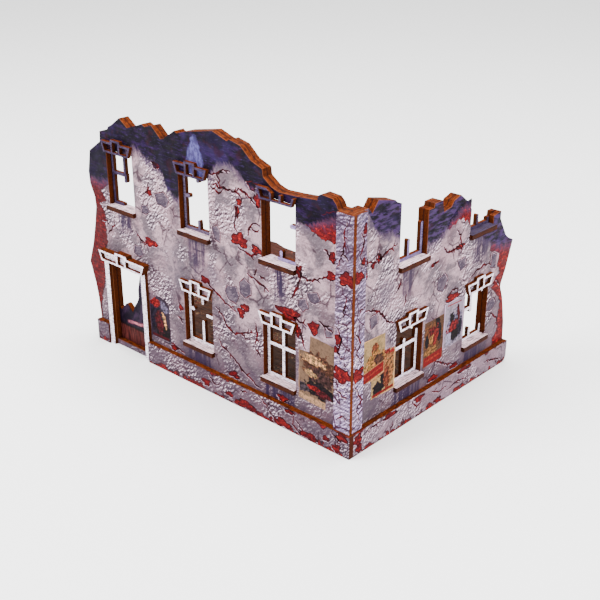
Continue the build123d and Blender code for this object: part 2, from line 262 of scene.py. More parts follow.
def plaster(p, light=(198, 186, 190), deep=(148, 134, 142), low=(118, 102, 114), rough=1.0, dusk=0.75):
    """Painted plaster print: grey clouds, rough dabs of dark and light, dusk at the foot."""
    cloud = p.noise(0.07, detail=4.0, warp=0.3)
    colour = p.mix(deep, light, cloud.step(0.42, 0.58))
    shade = p.mix(low, [(a + b) / 2 for a, b in zip(low, deep)], cloud.step(0.4, 0.6))
    colour = p.mix(colour, shade, ((cloud - 0.5) * 60.0 + p.v).step(62.0, 36.0) * 0.8)
    if dusk:
        wave = p.noise(0.06, p.at(shift=330.0))
        colour = p.mix(colour, (98, 82, 100), (p.v + (wave - 0.5) * 26.0).step(24.0, 11.0) * dusk)
    murk = p.noise(0.085, p.at(1.0, 1.2, shift=97.0), detail=4.0, warp=0.5)
    colour = p.mix(colour, dim(deep, 0.86), murk.step(0.55, 0.6) * 0.6)
    colour = p.mottle(colour, (160, 132, 142), 0.05, 0.5, 0.62, 0.35, rough=0.5, shift=-240.0)
    zone = p.noise(0.045, p.at(shift=-60.0), rough=0.5).step(0.49, 0.56)
    amount = zone * 0.9 * rough + 0.09
    if dusk:
        amount = amount * (p.v.step(14.0, 36.0) * 0.7 + 0.3)
    relief = p.emboss(0.62, 3.0, 0.62, lean=-0.5, tall=0.9, gap=0.5)
    colour = p.mix(colour, (228, 220, 224), relief.step(0.035, 0.13) * amount * 0.9)
    colour = p.mix(colour, (70, 54, 70), relief.step(-0.035, -0.13) * amount)
    grit = p.noise(1.1, p.at(1.0, 0.7, lean=0.4, shift=9.0), detail=2.0)
    colour = p.mix(colour, (104, 90, 106), grit.step(0.55, 0.67) * 0.5)
    scratch = {"su": 0.35, "sv": 1.6, "lean": 1.2, "shift": 30.0}
    colour = p.mottle(colour, (106, 90, 106), 0.5, 0.57, 0.65, 0.5, rough=0.7, **scratch)
    web = p.seams(0.09, p.at(1.0, 0.85, shift=51.0))
    gap = p.noise(0.07, p.at(shift=724.0)).step(0.5, 0.56)
    return p.mix(colour, (78, 54, 68), (web + (grit - 0.5) * 0.1).step(0.045, 0.012) * gap * 0.8)


def bricks(p, tilt=0.0, dark=0.8):
    """Worn red brickwork with short courses, dark joints and rubbed faces."""
    node = p.tree.nodes.new("ShaderNodeTexBrick")
    for name, value in (
        ("Scale", 1.0), ("Brick Width", 4.4), ("Row Height", 1.7), ("Mortar Size", 0.24),
        ("Mortar Smooth", 0.8), ("Color1", (*srgb(150, 52, 54), 1)),
        ("Color2", (*srgb(120, 38, 46), 1)), ("Mortar", (*srgb(80, 28, 40), 1)),
    ):
        node.inputs[name].default_value = value
    shake = p.noise(0.3) - 0.5
    vector = p.tree.nodes.new("ShaderNodeCombineXYZ")
    put(p.tree, vector.inputs[0], p.u + shake * 3.0 + 300.0)
    put(p.tree, vector.inputs[1], p.v + shake * 2.6 + p.u * tilt)
    p.tree.links.new(vector.outputs[0], node.inputs["Vector"])
    colour = Field(p.tree, node.outputs["Color"])
    grime = 0.56 - dark * 0.08
    colour = p.mottle(colour, (76, 28, 40), 0.45, grime, 0.66, dark, 4.0, 0.7)
    rubbed = 1.2 - dark * 0.75
    return p.mottle(colour, (196, 84, 70), 0.5, 0.55, 0.66, rubbed, rough=0.7, shift=55.0)


def bare_edge(p, colour, reach, brick, rim, spans):
    """Brick where reach is high, behind a dark rim; spans are the rim's and the brick's."""
    colour = p.mix(colour, rim, reach.step(*spans[0]))
    return p.mix(colour, brick, reach.step(*spans[1]))


def soot_colour(p, lift=0.0):
    """Near-black indigo smoke with blue and violet brush strokes; lift makes it paler."""
    stroke = p.noise(0.28, p.at(0.5, 1.7, lean=0.3), detail=4.0)
    colour = p.mix((30, 8, 38), (64, 40, 88), stroke.step(0.45, 0.62))
    colour = p.mottle(colour, (82, 62, 118), 0.05, 0.5, 0.64, 0.45, shift=-90.0)
    colour = p.mottle(colour, (24, 4, 34), 0.06, 0.44, 0.58, 0.7, shift=8.0)
    glint = {"su": 0.4, "sv": 2.0, "lean": 0.3, "shift": 61.0}
    colour = p.mottle(colour, (108, 90, 142), 0.7, 0.57, 0.69, 0.45, **glint)
    if lift:
        colour = p.mix(colour, (124, 98, 146), stroke.step(0.44, 0.58) * lift)
    return p.mottle(colour, (72, 24, 44), 0.12, 0.54, 0.68, 0.5, shift=210.0)


def soot(p, colour, line, points, lift=0.0):
    """Lays smoke over colour above a line drawn through the given points (along, height)."""
    edge = p.curve(line, points)
    ragged = (p.noise(0.1, p.at(1.0, 0.8), detail=5.0, rough=0.65) - 0.5) * 9.0
    streak = (p.noise(0.6, p.at(1.0, 0.35, lean=0.5)) - 0.5) * 7.0
    rise = p.v - edge + ragged + streak
    grey = p.mix(colour, (108, 90, 120), rise.step(-5.0, 1.5) * 0.75)
    return p.mix(grey, soot_colour(p, lift), rise.step(-1.0, 2.5))


def blob(p, colour, tint, spot, size, amount=1.0, soft=0.35):
    """A soft-edged patch of tint at spot = (u, v), size = (half width, half height)."""
    warp = (p.noise(0.22) - 0.5) * 1.5
    across = ((p.u - spot[0]) / size[0]).abs()
    along = ((p.v - spot[1]) / size[1]).abs()
    reach = radius(across, along) + warp
    return p.mix(colour, tint, reach.step(1.0 + soft, 1.0 - soft) * amount)


def stain(p, colour, middle, half, top, bottom, amount=0.9, tint=(78, 60, 90)):
    """Rain-washed soot that runs down below a sill."""
    sway = (p.noise(0.2, p.at(1.0, 0.4)) - 0.5) * 4.0
    inside = (p.u - middle + sway).abs().step(half + 0.8, half - 1.2)
    fall = (p.v + sway).step(bottom - 2.0, (bottom + top) / 2 + 1.0) * p.v.step(top + 0.8, top - 0.2)
    streak = p.noise(0.6, p.at(1.0, 0.06)).step(0.36, 0.56) * 0.75 + 0.25
    return p.mix(colour, tint, inside * fall * streak * amount)


FRONT_SMOKE = [
    (-192, 94), (-166, 95), (-160, 104), (-152, 112), (-143, 118), (-134, 114), (-122, 109),
    (-118, 102), (-111, 97), (-100, 108), (-88, 112), (-82, 121), (-74, 123), (-69, 119.5),
    (-63, 115.5), (-55, 114), (-33, 105), (-25, 104), (-20, 108), (-9, 111), (0, 130),
]
SIDE_SMOKE = [
    (0, 126), (9, 115), (14, 107), (18, 103), (27, 100), (33, 97), (43, 90), (55, 88.5), (59, 87),
    (67, 88.5), (72, 92.5), (78, 96), (83, 98.5), (88, 98.5), (91, 88), (96, 82), (108, 73),
    (117, 68.5), (131, 65.5),
]
FRONT_BAND = [
    (0, -181), (18, -181.5), (27, -179.5), (34, -176.5), (42, -174.5), (53.5, -175), (60.5, -170.5),
    (68, -171.5), (77.5, -171), (81.5, -175), (84, -169), (89.5, -172.5), (93, -167), (136, -166.5),
]
SIDE_BAND = [
    (0, 119.5), (15.5, 119.5), (21, 123.5), (27, 122.5), (36.5, 124), (42, 119.5), (48, 112.5),
    (50.5, 116.5), (53.5, 121), (59, 118), (65, 119.5), (69, 110), (120, 110),
]


def finish_board(p, colour, grain=0.00012, upright=(124, 66, 28)):
    colour = p.mix(cut_board(p, upright), colour, p.face)
    relief = p.noise(1.0, detail=4.0, rough=0.65)
    sheen = p.noise(0.2, detail=2.0, rough=0.5).step(0.3, 0.7) * 0.18 + 0.52
    return p.finish(colour, relief, grain, sheen + (1.0 - p.face) * 0.2)


# Smudges: colour, place, half size, amount, softness.
# Stains: middle, half width, top, foot, amount.
SMUDGES = {
    "front": (
        ((132, 120, 134), (-88, 63), (7, 6), 0.6, 0.6),
        ((136, 126, 138), (-118, 60), (9, 12), 0.5, 0.7),
    ),
    "side": (((136, 124, 138), (24, 74), (6, 6), 0.6, 0.6),),
}
STAINS = {
    "front": (
        (-154, 5.5, 80.5, 66, 0.95), (-98.5, 6, 80.5, 60, 0.75), (-99.5, 2, 80.5, 57, 0.9),
        (-42.5, 4, 80.5, 60, 1), (-42.5, 2.6, 80.5, 62, 1), (-43, 10, 19.5, 3, 1),
        (-99, 9, 19.5, 4, 0.9),
    ),
    "side": (
        (40.5, 4.5, 80.5, 60, 0.85), (100, 7.5, 80.5, 60, 0.9), (43, 11, 19.5, 3, 1),
        (100, 8, 19.5, 4, 0.85),
    ),
}


def wall_print(wall):
    front = wall == "front"
    p = Print(wall + "_wall_print", "y" if front else "x")
    colour = plaster(p)
    for smudge in SMUDGES[wall]:
        colour = blob(p, colour, *smudge)
    for marks in STAINS[wall]:
        colour = stain(p, colour, *marks)
    shake = (p.noise(0.3, detail=4.0) - 0.5) * 5.0
    if front:
        reach = p.curve(p.v, FRONT_BAND) - p.u + shake
        brick = p.mix(bricks(p, 0.0, 1.0), (84, 26, 40), 0.5)
    else:
        reach = p.u - p.curve(p.v, SIDE_BAND) + shake
        brick = bricks(p)
    colour = bare_edge(p, colour, reach, brick, (62, 30, 44), ((-1.2, -0.3), (-0.5, 0.2)))
    if not front:
        return finish_board(p, soot(p, colour, p.u, SIDE_SMOKE, 0.5))
    colour = soot(p, colour, p.u, FRONT_SMOKE)
    across = (p.u + 97.0) / ((p.v - 126.0) * -0.12 + 5.0)
    along = (p.v - 117.0) / 15.0
    plume = (radius(across, along) + (p.noise(0.3) - 0.5) * 0.7).step(1.12, 0.8)
    brush = p.noise(0.4, p.at(1.2, 0.7))
    pale = p.mix((112, 104, 152), (146, 142, 184), brush.step(0.4, 0.6))
    colour = p.mix(colour, pale, plume * 0.88)
    return finish_board(p, blob(p, colour, (30, 6, 42), (-178, 106), (12.0, 9.0), 0.6, 0.5))


def pilaster_print(name, axis):
    p = Print(name, axis)
    colour = plaster(p, (172, 156, 170), (128, 110, 128), (198, 188, 204), 1.2, 0.0)
    colour = p.mottle(colour, (150, 144, 172), 0.12, 0.46, 0.64, 0.35, shift=90.0)
    flake = p.emboss(0.5, 3.0, 0.6, lean=-0.8, gap=0.6, shift=140.0)
    colour = p.mix(colour, (220, 212, 224), flake.step(0.04, 0.13) * 0.7)
    colour = p.mix(colour, (66, 52, 74), flake.step(-0.05, -0.14) * 0.75)
    web = p.seams(0.15, p.at(1.0, 0.8, shift=3.0))
    gap = p.noise(0.1, p.at(shift=24.0), detail=2.0, rough=0.5).step(0.44, 0.5)
    bend = (p.noise(0.6) - 0.5) * 0.1
    colour = p.mix(colour, (84, 42, 58), (web + bend).step(0.05, 0.02) * gap * 0.95)
    colour = p.mix(colour, (104, 88, 112), p.v.step(60.0, 112.0) * 0.45)
    # the brighter cut-edge colour here is partly painted light for the lit corner strip; the scorched
    # grain is real
    return finish_board(p, colour, upright=(136, 76, 34))


def plinth_print(name, axis, light, deep):
    p = Print(name, axis)
    colour = plaster(p, light, deep, deep, 0.7, 0.0)
    foot = (p.noise(0.14, detail=4.0) - 0.5) * 16.0 - p.v * 0.9 + 1.2
    head = (p.noise(0.13, p.at(shift=500.0), detail=4.0) - 0.5) * 15.0 + p.v - 12.6
    for reach in (foot, head):
        colour = bare_edge(p, colour, reach, bricks(p), (60, 30, 46), ((-0.6, 0.0), (0.1, 0.5)))
    return finish_board(p, colour, upright=(104, 52, 30))


def trim_print(name, axis, light, deep, mark, smoky=0.0):
    """Painted woodwork: white or smoke-grey, with grain, scuffs and dark nicks."""
    p = Print(name, axis)
    grain = p.noise(1.0, p.at(0.5, 1.6), detail=4.0)
    colour = p.mix(deep, light, grain.step(0.36, 0.54))
    colour = p.mottle(colour, mark, 1.1, 0.61, 0.68, 0.85, rough=0.7, sv=0.9, shift=42.0)
    colour = p.mottle(colour, (150, 128, 124), 0.3, 0.58, 0.72, 0.4, shift=12.0)
    if smoky:
        shade = p.noise(0.2, p.at(shift=66.0)).step(0.42, 0.62)
        colour = p.mix(colour, soot_colour(p), shade * smoky)
    return finish_board(p, colour, 0.00006, (118, 66, 30))


def sill_print(name, along, light, deep):
    p = Print(name, "z")
    grain = p.noise(0.9, p.at(0.18, 2.2) if along == "u" else p.at(2.2, 0.18), detail=4.0)
    colour = p.mix(deep, light, grain.step(0.38, 0.55))
    split = p.noise(0.45, p.at(0.3, 2.6) if along == "u" else p.at(2.6, 0.3), detail=2.0)
    colour = p.mix(colour, (92, 74, 80), split.step(0.59, 0.63) * 0.85)
    colour = p.mottle(colour, (140, 120, 112), 0.8, 0.6, 0.68, 0.6, rough=0.7, shift=9.0)
    raw = p.noise(0.9, p.at(0.3, 0.3, 2.0), detail=4.0)
    edge = p.mix((58, 28, 12), (98, 52, 22), raw.step(0.35, 0.65))
    colour = p.mix(edge, colour, p.face)
    return p.finish(colour, grain, 0.00006, 0.7)


def door_print():
    p = Print("door_leaf_print", "y")
    smear = p.noise(0.16, p.at(1.0, 0.5, lean=-0.4), detail=4.0, rough=0.65)
    colour = p.mix((38, 22, 44), (86, 64, 92), smear.step(0.45, 0.68))
    glow = p.noise(0.5, p.at(0.4, 1.2))
    lit = (p.v - 15.8 - (p.u + 153.0) * 0.12).abs().step(1.5, 0.3) * (p.u + 154.0).abs().step(9.0, 5.0)
    colour = p.mix(colour, (206, 168, 178), lit * glow.step(0.4, 0.6) * 0.85)
    board = p.noise(0.9, p.at(1.6, 0.12), detail=4.0)
    planks = p.mix((70, 34, 38), (124, 70, 66), board.step(0.4, 0.6))
    seam = math_node(p.tree, "FRACT", (p.u + 200.0) / 3.4).step(0.1, 0.0)
    planks = p.mix(planks, (40, 20, 28), seam * 0.7)
    low = (p.v - 12.4 + (p.noise(0.2, detail=4.0, rough=0.55) - 0.5) * 2.0).step(0.5, -0.3)
    rail = (p.v - 12.4 + (p.noise(0.2, detail=4.0, rough=0.55) - 0.5) * 2.0).abs().step(0.9, 0.4)
    colour = p.mix(colour, planks, low)
    colour = p.mix(colour, (34, 16, 26), rail * 0.9)
    return finish_board(p, colour)


def floor_print(name, first, second, dust):
    p = Print(name, "z")
    board = p.noise(0.8, p.at(0.12, 1.8), detail=4.0)
    colour = p.mix(first, second, board.step(0.38, 0.62))
    seam = math_node(p.tree, "FRACT", (p.v + 300.0) / 7.5).step(0.06, 0.02)
    butt = p.seams(0.05, p.at(0.5, 2.6), jitter=0.6)
    colour = p.mix(colour, (38, 22, 22), seam * 0.8)
    colour = p.mix(colour, (44, 26, 24), butt.step(0.03, 0.01) * 0.5)
    heap = p.noise(0.06, p.at(shift=33.0), detail=4.0).step(0.5, 0.58)
    lump = p.seams(0.42)
    tone = p.noise(0.5, p.at(shift=71.0))
    rubble = p.mix((120, 52, 44), dust, tone.step(0.42, 0.58))
    rubble = p.mix((46, 28, 30), rubble, lump.step(0.02, 0.14))
    colour = p.mix(colour, rubble, heap)
    return finish_board(p, colour)


def inner_print(name, axis, points):
    p = Print(name, axis)
    colour = plaster(p, (172, 160, 150), (128, 116, 112), (118, 102, 114), 0.5)
    stripe = math_node(p.tree, "FRACT", (p.u + 400.0) / 6.0).step(0.46, 0.5)
    paper = p.noise(0.035, p.at(shift=81.0), detail=4.0).step(0.47, 0.52)
    faded = p.mix((146, 128, 104), (164, 148, 122), stripe)
    faded = p.mottle(faded, (112, 98, 88), 0.5, 0.55, 0.7, 0.6, 4.0, 0.7)
    colour = p.mix(colour, faded, paper * 0.85)
    bare = p.noise(0.05, p.at(shift=-44.0), detail=4.0)
    colour = p.mix(colour, (70, 36, 40), bare.step(0.595, 0.605))
    colour = p.mix(colour, bricks(p), bare.step(0.605, 0.615))
    board = (p.v - SHEET).step(6.6, 6.3)
    wood = p.noise(0.8, p.at(0.15, 1.5), detail=4.0)
    skirt = p.mix((88, 58, 40), (120, 84, 58), wood.step(0.4, 0.6))
    colour = p.mix(colour, skirt, board)
    return finish_board(p, soot(p, colour, p.u, points))


# ---------------------------------------------------------------- materials on the frame
WHITE = ((232, 226, 232), (178, 168, 180), (90, 74, 90))
SMOKED = ((112, 98, 126), (70, 58, 86), (40, 30, 50))
DUSKY = ((158, 146, 166), (106, 92, 118), (66, 50, 70))
PALE = {
    "front": ((196, 188, 206), (146, 134, 160), (90, 78, 100)),
    "side": ((176, 166, 190), (128, 116, 144), (84, 72, 98)),
}
PLINTHS = {"front": ((152, 136, 148), (114, 96, 110)), "side": ((206, 192, 198), (162, 146, 156))}
SILL = ((228, 218, 220), (184, 172, 176))
prints = {
    "ground_floor": floor_print("ground_print", (58, 34, 26), (98, 64, 44), (146, 122, 96)),
    "upper_floor": floor_print("upper_print", (84, 46, 36), (122, 74, 56), (150, 100, 84)),
    "door_leaf": door_print(),
    "front_dusky": trim_print("front_dusky_print", "y", *DUSKY, 0.25),
    "dark_sill": sill_print("dark_sill_print", "v", (110, 98, 122), (76, 64, 88)),
}
for wall, axis, along, smoke, smoky in (
    ("front", "y", "u", FRONT_SMOKE, 0.5), ("side", "x", "v", SIDE_SMOKE, 0.35),
):
    prints.update({
        wall + "_wall_outer": wall_print(wall),
        wall + "_wall_inner": inner_print(wall + "_inner_print", axis, smoke),
        wall + "_pilaster": pilaster_print(wall + "_pilaster_print", axis),
        wall + "_plinth": plinth_print(wall + "_plinth_print", axis, *PLINTHS[wall]),
        wall + "_white": trim_print(wall + "_trim_print", axis, *WHITE),
        wall + "_smoked": trim_print(wall + "_smoked_print", axis, *SMOKED, smoky),
        wall + "_pale": trim_print(wall + "_pale_print", axis, *PALE[wall]),
        wall + "_sill": sill_print(wall + "_sill_print", along, *SILL),
    })

OWN_PRINT = {
    "side_sill_upper_2": "dark_sill", "side_frame_upper_1": "side_pale",
    "side_frame_upper_2": "side_smoked", "front_frame_upper_1": "front_smoked",
    "front_frame_upper_2": "front_dusky", "front_frame_upper_3": "front_pale",
}
KIND_PRINT = (("plinth", "_plinth"), ("sill", "_sill"), ("lintel_upper", "_smoked"), ("", "_white"))


def print_for(name):
    if name in prints:
        return prints[name]
    if name in OWN_PRINT:
        return prints[OWN_PRINT[name]]
    kind = next(kind for word, kind in KIND_PRINT if word in name)
    return prints[("side" if name.startswith("side") else "front") + kind]


for name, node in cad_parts.items():
    node.data.materials.clear()
    node.data.materials.append(print_for(name))
    for face in node.data.polygons:
        face.use_smooth = False

# ---------------------------------------------------------------- printed damage
# Each opening and each sheet: left, right, foot, head.
WINDOWS = {
    "front": [
        (-165.5, -144.5, 81, 113), (-109.5, -88.5, 81, 113), (-53.5, -32.5, 81, 113),
        (-109.5, -88.5, 20, 52), (-53.5, -32.5, 20, 52), (-168.5, -141.5, 0, 51.5),
    ],
    "side": [
        (33, 54, 81, 130), (89.5, 110.5, 81, 130), (33, 54, 20, 52),
        (89.5, 110.5, 20, 52),
    ],
}
BOUNDS = {
    ("front", 0): (-190, -7.6, 12.1, 134), ("side", 0): (7.1, 128, 12.1, 134),
    ("front", OVERLAY): (-7.35, 1.88, 12.15, 116), ("side", OVERLAY): (0.12, 6.85, 12.15, 116),
    ("front", PLINTH): (-137, 2.85, 0.15, 11.85), ("side", PLINTH): (0.12, 125, 0.15, 11.85),
}


def keep_on(wall, depth, u, v, gap=0.3):
    """Holds a printed point on its own sheet and clear of the openings in it."""
    left, right, foot, head = BOUNDS[(wall, depth)]
    u, v = min(max(u, left), right), min(max(v, foot), head)
    if depth:
        return u, v
    for left, right, foot, head in WINDOWS[wall]:
        if left - gap < u < right + gap and foot - gap < v < head + gap:
            moves = [
                (u - left + gap, (left - gap, v)), (right + gap - u, (right + gap, v)),
                (v - foot + gap, (u, foot - gap)), (head + gap - v, (u, head + gap)),
            ]
            u, v = min(moves)[1]
    return u, v


def on_wall(wall, u, v, out):
    """Row-frame metres of a point u along the wall, v high, out from its outer face."""
    if wall == "front":
        return ((CORNER_X + u) / 1000, (FACE_Y - out) / 1000, v / 1000)
    return ((CORNER_X + out) / 1000, (FACE_Y + u) / 1000, v / 1000)


class Film:
    """Printed shapes on one wall, as closed films a few hundredths of a millimetre thick."""

    def __init__(self, wall, name, depth, lift, slot, material):
        self.wall, self.depth, self.lift, self.slot = wall, depth, lift, slot
        self.name, self.material = name, material
        self.mesh = bmesh.new()

    def vertex(self, u, v, out):
        """A point of the film, kept just above the table."""
        return self.mesh.verts.new(on_wall(self.wall, u, max(v, FILM_ROOT), out))

    def shape(self, outline):
        if len(outline) < 3:
            return
        area = sum(a[0] * b[1] - b[0] * a[1] for a, b in zip(outline, outline[1:] + outline[:1]))
        outline = outline if area > 0 else list(reversed(outline))
        top = [self.vertex(u, v, self.depth + self.lift) for u, v in outline]
        base = [self.vertex(u, v, self.depth - FILM_ROOT) for u, v in outline]
        for a, b, c in tessellate_polygon([[Vector((u, v, 0.0)) for u, v in outline]]):
            turn = (outline[b][0] - outline[a][0]) * (outline[c][1] - outline[a][1])
            turn -= (outline[c][0] - outline[a][0]) * (outline[b][1] - outline[a][1])
            if turn < 0:
                b, c = c, b
            self.mesh.faces.new((top[a], top[b], top[c]))
            self.mesh.faces.new((base[c], base[b], base[a]))
        for index in range(len(outline)):
            after = (index + 1) % len(outline)
            self.mesh.faces.new((top[after], top[index], base[index], base[after]))

    def ribbon(self, line, widths, closed=False):
        pairs = []
        count = len(line)
        for index, (u, v) in enumerate(line):
            before = line[(index - 1) % count] if closed or index else line[0]
            after = line[(index + 1) % count] if closed or index < count - 1 else line[-1]
            du, dv = after[0] - before[0], after[1] - before[1]
            reach = math.hypot(du, dv) or 1.0
            du, dv = du / reach, dv / reach
            half = widths[index] / 2
            pairs.append(((u - dv * half, v + du * half), (u + dv * half, v - du * half)))
        rings = []
        for left, right in pairs:
            rings.append((
                self.vertex(*left, self.depth + self.lift), self.vertex(*right, self.depth + self.lift),
                self.vertex(*right, self.depth - FILM_ROOT), self.vertex(*left, self.depth - FILM_ROOT),
            ))
        spans = list(zip(rings, rings[1:] + (rings[:1] if closed else [])))
        for first, second in spans:
            for corner in range(4):
                other = (corner + 1) % 4
                self.mesh.faces.new((first[corner], first[other], second[other], second[corner]))
        if not closed:
            self.mesh.faces.new(tuple(reversed(rings[0])))
            self.mesh.faces.new(rings[-1])

    def done(self):
        data = bpy.data.meshes.new(self.name)
        self.mesh.to_mesh(data)
        self.mesh.free()
        data.materials.append(self.material)
        thing = bpy.data.objects.new(self.name, data)
        bpy.context.scene.collection.objects.link(thing)
        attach(thing, "root")


def thinned(line, gap=0.15):
    """The same line without points that sit on top of each other."""
    kept = line[:1]
    for point in line[1:]:
        if math.dist(point, kept[-1]) > gap:
            kept.append(point)
    return kept


def jagged(rng, wall, depth, points, step=1.5, wander=0.6):
    """A crack line through the given points, broken into short crooked steps."""
    line = []
    for (u0, v0), (u1, v1) in zip(points, points[1:]):
        pieces = max(1, round(math.hypot(u1 - u0, v1 - v0) / step))
        for index in range(pieces):
            part = index / pieces
            shake = wander if index else wander * 0.4
            line.append((
                u0 + (u1 - u0) * part + rng.uniform(-shake, shake),
                v0 + (v1 - v0) * part + rng.uniform(-shake, shake),
            ))
    line.append(points[-1])
    return thinned([keep_on(wall, depth, u, v) for u, v in line])


def crack(rng, dark, pale, points, width=1.0, spurs=0.25):
    line = jagged(rng, dark.wall, dark.depth, points)
    count = len(line)
    widths = []
    for index in range(count):
        ends = min(index, count - 1 - index) / max(1, count - 1)
        widths.append(width * (0.45 + 1.3 * min(0.5, ends)) * rng.uniform(0.65, 1.25))
    dark.ribbon(line, widths)
    under = thinned([keep_on(dark.wall, dark.depth, u - 0.3, v - 0.5) for u, v in line])
    pale.ribbon(under, [width * rng.uniform(0.3, 0.6) for _ in under])
    for index in range(2, count - 2):
        if rng.random() < spurs:
            u, v = line[index]
            du = line[index + 1][0] - line[index - 1][0]
            dv = line[index + 1][1] - line[index - 1][1]
            turn = rng.choice((-1, 1))
            reach = rng.uniform(1.0, 2.6) / (math.hypot(du, dv) or 1.0)
            tip = (u - dv * turn * reach + du * 0.4, v + du * turn * reach + dv * 0.4)
            spur = jagged(rng, dark.wall, dark.depth, [(u, v), tip], 0.8, 0.25)
            if len(spur) > 1:
                dark.ribbon(spur, [width * 0.6 * (1.0 - k / len(spur)) + 0.15 for k in range(len(spur))])


def bare_patch(rng, film, dark, pale, spot, half):
    """A hole in the plaster that shows brick, with a crooked dark edge."""
    count = 14 + int(max(half) * 2.6)
    start, lobe = rng.uniform(0, 6.28), rng.uniform(0, 6.28)
    points = []
    for index in range(count):
        angle = start + index * 2 * math.pi / count
        reach = 1.0 + 0.2 * math.sin(3 * angle + lobe) + 0.14 * math.sin(5 * angle + 2 * lobe)
        reach *= rng.uniform(0.8, 1.14)
        u = spot[0] + math.cos(angle) * half[0] * reach
        v = spot[1] + math.sin(angle) * half[1] * reach
        points.append(keep_on(film.wall, film.depth, u, v))
    points = thinned(points)
    film.shape(points)
    dark.ribbon(points, [rng.uniform(0.35, 0.85) for _ in points], closed=True)
    below = thinned([keep_on(film.wall, film.depth, u - 0.35, v - 0.5) for u, v in points])
    pale.ribbon(below, [0.45] * len(below), closed=True)


def crack_material(name, axis):
    p = Print(name, axis)
    colour = p.mottle((62, 26, 38), (112, 34, 44), 0.2, 0.46, 0.6)
    return p.finish(colour, p.noise(0.8), 0.00004, 0.75)


def lip_material(name, axis):
    p = Print(name, axis)
    colour = p.mottle((160, 144, 154), (208, 196, 202), 0.9, 0.42, 0.6)
    return p.finish(colour, p.noise(0.9), 0.00004, 0.7)


def slab_material(name, axis):
    p = Print(name, axis)
    cloud = p.noise(0.2, detail=4.0)
    colour = p.mix((110, 98, 112), (140, 126, 138), cloud.step(0.42, 0.6))
    relief = p.emboss(0.6, 3.0, 0.6, lean=-0.5, gap=0.5)
    colour = p.mix(colour, (176, 166, 174), relief.step(0.06, 0.18) * 0.5)
    colour = p.mix(colour, (84, 72, 90), relief.step(-0.06, -0.18) * 0.6)
    return p.finish(colour, cloud, 0.00006, 0.75)


def brick_material(name, axis, points=None, dark=0.8):
    p = Print(name, axis)
    colour = bricks(p, 0.03, dark)
    if points:
        colour = soot(p, colour, p.u, points)
    return p.finish(colour, p.noise(1.0), 0.00008, 0.75)


CRACKS = {
    "front": [
        [(-86.5, 110), (-83, 112), (-81, 110), (-77.5, 111), (-73, 111), (-67.5, 110), (-66, 107.5)],
        [(-81, 110), (-80, 114), (-82.5, 117), (-77.5, 119.5), (-73, 119.5)],
        [(-87, 116), (-82.5, 117)], [(-86.5, 110), (-81.5, 107.5), (-77.5, 110.5)],
        [(-70.5, 111), (-67.5, 113), (-63.5, 112), (-59, 109), (-55.5, 106.5)],
        [(-69, 105.5), (-69, 101.5), (-70.5, 97), (-71, 94.5), (-69.5, 91)],
        [(-62.5, 91.5), (-60.5, 96.5), (-57, 98.5), (-54, 98)],
        [(-60.5, 96), (-57.5, 94.5), (-55, 96)],
        [(-69, 84), (-63.5, 82.5), (-60, 81.5), (-56, 85.5)],
        [(-63.5, 72.5), (-57.5, 70.5), (-52.5, 69), (-49, 67)], [(-57, 76), (-59, 72.5)],
        [(-55, 74), (-51.5, 72)],
        [(-33.5, 84.5), (-29.5, 81.5), (-25.5, 79.5), (-19.5, 81.5), (-14, 84.5)],
        [(-29, 80.5), (-31, 74.5), (-33.5, 70.5), (-36, 67.5)],
        [(-132.5, 102), (-133.5, 97), (-138, 94.5)],
        [(-145, 73), (-141.5, 69), (-138, 67.5), (-136, 69)],
        [(-163, 75.5), (-162.5, 72), (-167.5, 67.5), (-169, 65)],
        [(-173, 72.5), (-169, 73), (-167, 70.5)],
        [(-93, 61.5), (-88.5, 57.5), (-83, 55), (-79, 52), (-71.5, 50)],
        [(-86, 48), (-81.5, 45), (-77.5, 39.5), (-73, 37.5), (-69, 39.5), (-63.5, 41), (-58.5, 42.5)],
        [(-69, 39.5), (-65.5, 37.5), (-62, 38)], [(-58.5, 48), (-57, 42.5), (-59, 36.5)],
        [(-84.5, 31), (-81.5, 27), (-77.5, 25.5), (-70.5, 21), (-63.5, 17), (-55, 13.5)],
        [(-59, 35), (-55, 31)], [(-31, 55), (-28, 48), (-26.5, 45)], [(-115.5, 34), (-111, 31)],
        [(-38, 59), (-31, 58.5), (-25.5, 57)], [(-19, 62), (-14, 60.5), (-10, 59)],
        [(-129.5, 113.5), (-125, 112), (-124, 110)], [(-16, 97), (-12.5, 94.5)],
        [(-124, 17), (-117, 15), (-111, 13.5)],
    ],
    "side": [
        [(9.5, 91.5), (19.5, 91), (24, 93), (31, 95)],
        [(9, 69.5), (15.5, 67.5), (19.5, 66), (23, 62.5), (25, 59), (31.5, 56.5)],
        [(68, 83), (70, 79.5), (76, 79), (81.5, 79), (84.5, 76.5)],
        [(78, 88.5), (81.5, 85), (82, 81.5), (84.5, 77.5)],
        [(57.5, 75.5), (60.5, 76.5), (64.5, 77.5)],
        [(91.5, 58.5), (97, 61), (104, 62.5), (109.5, 62), (110.5, 68.5)],
        [(31, 70.5), (34.5, 74), (35.5, 76.5)], [(113, 48), (118, 50.5), (121.5, 46.5)],
        [(110.5, 31), (116.5, 31.5), (121.5, 26.5), (119.5, 21)],
        [(60.5, 25.5), (70, 21), (76, 17.5), (84.5, 14)], [(101, 21), (108.5, 24)],
        [(73, 55), (77.5, 57.5), (81.5, 57), (82, 55)], [(18, 95.5), (20, 89.5)],
        [(39.5, 67.5), (38, 62)],
    ],
}
